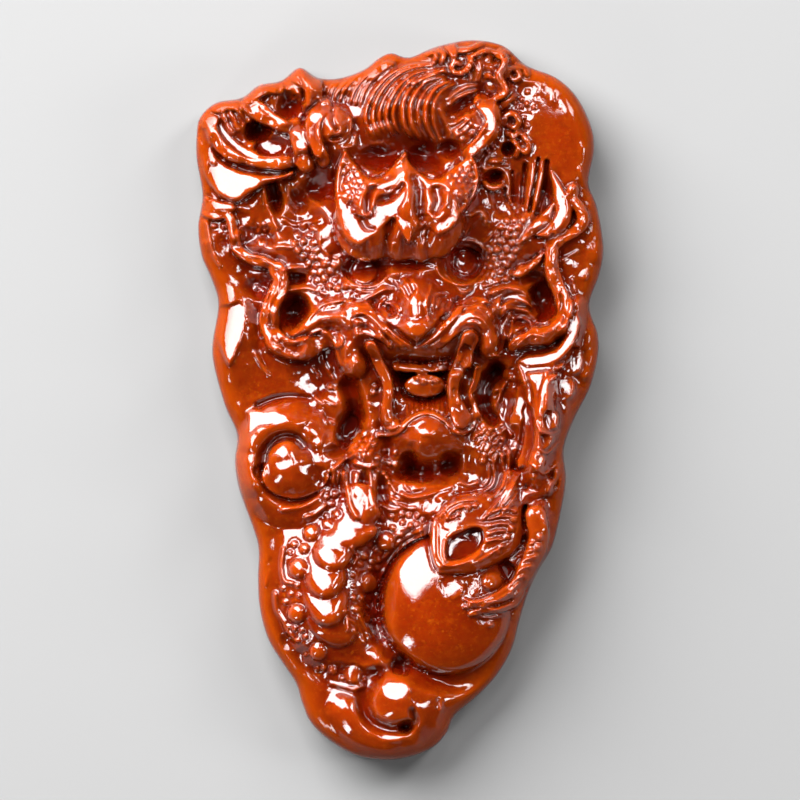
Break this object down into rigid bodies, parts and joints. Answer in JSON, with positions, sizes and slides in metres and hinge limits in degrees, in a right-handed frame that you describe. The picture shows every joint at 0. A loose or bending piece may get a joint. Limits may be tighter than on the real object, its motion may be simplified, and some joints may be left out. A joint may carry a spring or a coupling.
{
  "type": "carved jade pendant",
  "caption": "Flat-backed pendant carved from one red jade stone, with a dragon's head, coiled body and pearl in relief and a slanting cord hole.",
  "frame": {"origin": "middle of the flat back's bounding box, on the surface that the pendant lies on", "axes": "+Y towards the pendant's top, +Z out of the carved face"},
  "size_m": [0.034, 0.06, 0.012],
  "materials": {
    "jade": "wet-looking polish over a translucent red-orange stone"
  },
  "bodies": {
    "root": {"carved_stone": "jade"}
  },
  "joints": []
}
